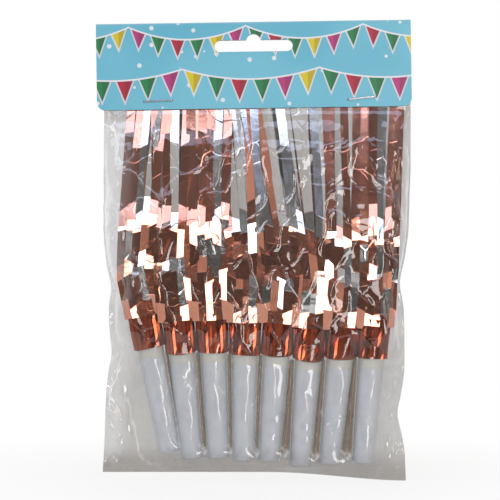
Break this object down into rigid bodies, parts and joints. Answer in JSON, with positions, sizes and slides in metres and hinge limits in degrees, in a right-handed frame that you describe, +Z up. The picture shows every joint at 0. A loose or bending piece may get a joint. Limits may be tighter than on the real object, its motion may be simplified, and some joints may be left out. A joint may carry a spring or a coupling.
{
  "type": "party horn blower pack",
  "caption": "Clear hanging bag of party horn blowers with rose-gold foil frills, white tapered mouthpieces and coiled blow-out tubes, under a folded card with a hang slot.",
  "frame": {"origin": "centre of the hang slot, in the middle of the pack's thickness", "axes": "+Z up along the hanging pack, +X to the right and +Y to the back as seen from the front"},
  "size_m": [0.1326, 0.016, 0.1921],
  "materials": {
    "clear_film": "clear crinkled polypropylene film",
    "printed_card": null,
    "staple_wire": "bright zinc-plated wire",
    "mouthpiece_plastic": "milky translucent polyethylene",
    "reed_plastic": "natural moulded plastic",
    "reed_film": "thin stiff plastic sheet",
    "tube_paper": "foil-faced paper, rose gold",
    "rose_foil": "metallised film, rose gold outside and silver inside"
  },
  "bodies": {
    "pack": {"bag": "clear_film", "header_card": "printed_card", "staples": "staple_wire", "mouthpiece_1": "mouthpiece_plastic", "reed_plug_1": "reed_plastic", "frill_1": "rose_foil", "mouthpiece_2": "mouthpiece_plastic", "reed_plug_2": "reed_plastic", "frill_2": "rose_foil", "mouthpiece_3": "mouthpiece_plastic", "reed_plug_3": "reed_plastic", "frill_3": "rose_foil", "mouthpiece_4": "mouthpiece_plastic", "reed_plug_4": "reed_plastic", "frill_4": "rose_foil", "mouthpiece_5": "mouthpiece_plastic", "reed_plug_5": "reed_plastic", "frill_5": "rose_foil", "mouthpiece_6": "mouthpiece_plastic", "reed_plug_6": "reed_plastic", "frill_6": "rose_foil", "mouthpiece_7": "mouthpiece_plastic", "reed_plug_7": "reed_plastic", "frill_7": "rose_foil", "mouthpiece_8": "mouthpiece_plastic", "reed_plug_8": "reed_plastic", "frill_8": "rose_foil"},
    "neck_1": {"tube_neck_1": "tube_paper"},
    "roll_1": {"tube_roll_1": "tube_paper"},
    "reed_1": {"reed_tongue_1": "reed_film"},
    "neck_2": {"tube_neck_2": "tube_paper"},
    "roll_2": {"tube_roll_2": "tube_paper"},
    "reed_2": {"reed_tongue_2": "reed_film"},
    "neck_3": {"tube_neck_3": "tube_paper"},
    "roll_3": {"tube_roll_3": "tube_paper"},
    "reed_3": {"reed_tongue_3": "reed_film"},
    "neck_4": {"tube_neck_4": "tube_paper"},
    "roll_4": {"tube_roll_4": "tube_paper"},
    "reed_4": {"reed_tongue_4": "reed_film"},
    "neck_5": {"tube_neck_5": "tube_paper"},
    "roll_5": {"tube_roll_5": "tube_paper"},
    "reed_5": {"reed_tongue_5": "reed_film"},
    "neck_6": {"tube_neck_6": "tube_paper"},
    "roll_6": {"tube_roll_6": "tube_paper"},
    "reed_6": {"reed_tongue_6": "reed_film"},
    "neck_7": {"tube_neck_7": "tube_paper"},
    "roll_7": {"tube_roll_7": "tube_paper"},
    "reed_7": {"reed_tongue_7": "reed_film"},
    "neck_8": {"tube_neck_8": "tube_paper"},
    "roll_8": {"tube_roll_8": "tube_paper"},
    "reed_8": {"reed_tongue_8": "reed_film"}
  },
  "joints": [
    {"name": "blowout_1_unroll", "type": "slide", "parent": "pack", "child": "neck_1", "axis": [-0.1874, 0, 0.9823], "range_m": [0, 0.025], "stiffness_N_per_m": 2, "deforming": ["tube_neck_1"]},
    {"name": "roll_1_turn", "type": "hinge", "parent": "neck_1", "child": "roll_1", "pos_m": [-0.04789, 0, -0.10341], "axis": [0.9823, 0, 0.1874], "range_deg": [-228, 0]},
    {"name": "reed_1_flex", "type": "hinge", "parent": "pack", "child": "reed_1", "pos_m": [-0.04261, -0.00028, -0.13111], "axis": [-0.9823, 0, -0.1874], "range_deg": [-0.3, 5], "stiffness_Nm_per_rad": 0.000005},
    {"name": "blowout_2_unroll", "type": "slide", "parent": "pack", "child": "neck_2", "axis": [-0.1011, 0, 0.9949], "range_m": [0, 0.025], "stiffness_N_per_m": 2, "deforming": ["tube_neck_2"]},
    {"name": "roll_2_turn", "type": "hinge", "parent": "neck_2", "child": "roll_2", "pos_m": [-0.0326, 0, -0.10532], "axis": [0.9949, 0, 0.1011], "range_deg": [-228, 0]},
    {"name": "reed_2_flex", "type": "hinge", "parent": "pack", "child": "reed_2", "pos_m": [-0.02975, -0.00028, -0.13337], "axis": [-0.9949, 0, -0.1011], "range_deg": [-0.3, 5], "stiffness_Nm_per_rad": 0.000005},
    {"name": "blowout_3_unroll", "type": "slide", "parent": "pack", "child": "neck_3", "axis": [-0.0488, 0, 0.9988], "range_m": [0, 0.025], "stiffness_N_per_m": 2, "deforming": ["tube_neck_3"]},
    {"name": "roll_3_turn", "type": "hinge", "parent": "neck_3", "child": "roll_3", "pos_m": [-0.01809, 0, -0.10493], "axis": [0.9988, 0, 0.0488], "range_deg": [-228, 0]},
    {"name": "reed_3_flex", "type": "hinge", "parent": "pack", "child": "reed_3", "pos_m": [-0.01671, -0.00028, -0.13309], "axis": [-0.9988, 0, -0.0488], "range_deg": [-0.3, 5], "stiffness_Nm_per_rad": 0.000005},
    {"name": "blowout_4_unroll", "type": "slide", "parent": "pack", "child": "neck_4", "axis": [0.014, 0, 0.9999], "range_m": [0, 0.025], "stiffness_N_per_m": 2, "deforming": ["tube_neck_4"]},
    {"name": "roll_4_turn", "type": "hinge", "parent": "neck_4", "child": "roll_4", "pos_m": [-0.00333, 0, -0.1059], "axis": [0.9999, 0, -0.014], "range_deg": [-228, 0]},
    {"name": "reed_4_flex", "type": "hinge", "parent": "pack", "child": "reed_4", "pos_m": [-0.00373, -0.00028, -0.1341], "axis": [-0.9999, 0, 0.014], "range_deg": [-0.3, 5], "stiffness_Nm_per_rad": 0.000005},
    {"name": "blowout_5_unroll", "type": "slide", "parent": "pack", "child": "neck_5", "axis": [0.0732, 0, 0.9973], "range_m": [0, 0.025], "stiffness_N_per_m": 2, "deforming": ["tube_neck_5"]},
    {"name": "roll_5_turn", "type": "hinge", "parent": "neck_5", "child": "roll_5", "pos_m": [0.01134, 0, -0.10626], "axis": [0.9973, 0, -0.0732], "range_deg": [-228, 0]},
    {"name": "reed_5_flex", "type": "hinge", "parent": "pack", "child": "reed_5", "pos_m": [0.00927, -0.00028, -0.13439], "axis": [-0.9973, 0, 0.0732], "range_deg": [-0.3, 5], "stiffness_Nm_per_rad": 0.000005},
    {"name": "blowout_6_unroll", "type": "slide", "parent": "pack", "child": "neck_6", "axis": [0.0767, 0, 0.9971], "range_m": [0, 0.025], "stiffness_N_per_m": 2, "deforming": ["tube_neck_6"]},
    {"name": "roll_6_turn", "type": "hinge", "parent": "neck_6", "child": "roll_6", "pos_m": [0.02473, 0, -0.10837], "axis": [0.9971, 0, -0.0767], "range_deg": [-228, 0]},
    {"name": "reed_6_flex", "type": "hinge", "parent": "pack", "child": "reed_6", "pos_m": [0.02257, -0.00028, -0.13648], "axis": [-0.9971, 0, 0.0767], "range_deg": [-0.3, 5], "stiffness_Nm_per_rad": 0.000005},
    {"name": "blowout_7_unroll", "type": "slide", "parent": "pack", "child": "neck_7", "axis": [0.0976, 0, 0.9952], "range_m": [0, 0.025], "stiffness_N_per_m": 2, "deforming": ["tube_neck_7"]},
    {"name": "roll_7_turn", "type": "hinge", "parent": "neck_7", "child": "roll_7", "pos_m": [0.03852, 0, -0.10771], "axis": [0.9952, 0, -0.0976], "range_deg": [-228, 0]},
    {"name": "reed_7_flex", "type": "hinge", "parent": "pack", "child": "reed_7", "pos_m": [0.03577, -0.00028, -0.13578], "axis": [-0.9952, 0, 0.0976], "range_deg": [-0.3, 5], "stiffness_Nm_per_rad": 0.000005},
    {"name": "blowout_8_unroll", "type": "slide", "parent": "pack", "child": "neck_8", "axis": [0.0854, 0, 0.9963], "range_m": [0, 0.025], "stiffness_N_per_m": 2, "deforming": ["tube_neck_8"]},
    {"name": "roll_8_turn", "type": "hinge", "parent": "neck_8", "child": "roll_8", "pos_m": [0.05155, 0, -0.10738], "axis": [0.9963, 0, -0.0854], "range_deg": [-228, 0]},
    {"name": "reed_8_flex", "type": "hinge", "parent": "pack", "child": "reed_8", "pos_m": [0.04914, -0.00028, -0.13548], "axis": [-0.9963, 0, 0.0854], "range_deg": [-0.3, 5], "stiffness_Nm_per_rad": 0.000005}
  ],
  "couplings": [
    {"joint": "roll_1_turn", "follows": "blowout_1_unroll", "rad_per_m": -158.73},
    {"joint": "roll_2_turn", "follows": "blowout_2_unroll", "rad_per_m": -158.73},
    {"joint": "roll_3_turn", "follows": "blowout_3_unroll", "rad_per_m": -158.73},
    {"joint": "roll_4_turn", "follows": "blowout_4_unroll", "rad_per_m": -158.73},
    {"joint": "roll_5_turn", "follows": "blowout_5_unroll", "rad_per_m": -158.73},
    {"joint": "roll_6_turn", "follows": "blowout_6_unroll", "rad_per_m": -158.73},
    {"joint": "roll_7_turn", "follows": "blowout_7_unroll", "rad_per_m": -158.73},
    {"joint": "roll_8_turn", "follows": "blowout_8_unroll", "rad_per_m": -158.73}
  ]
}
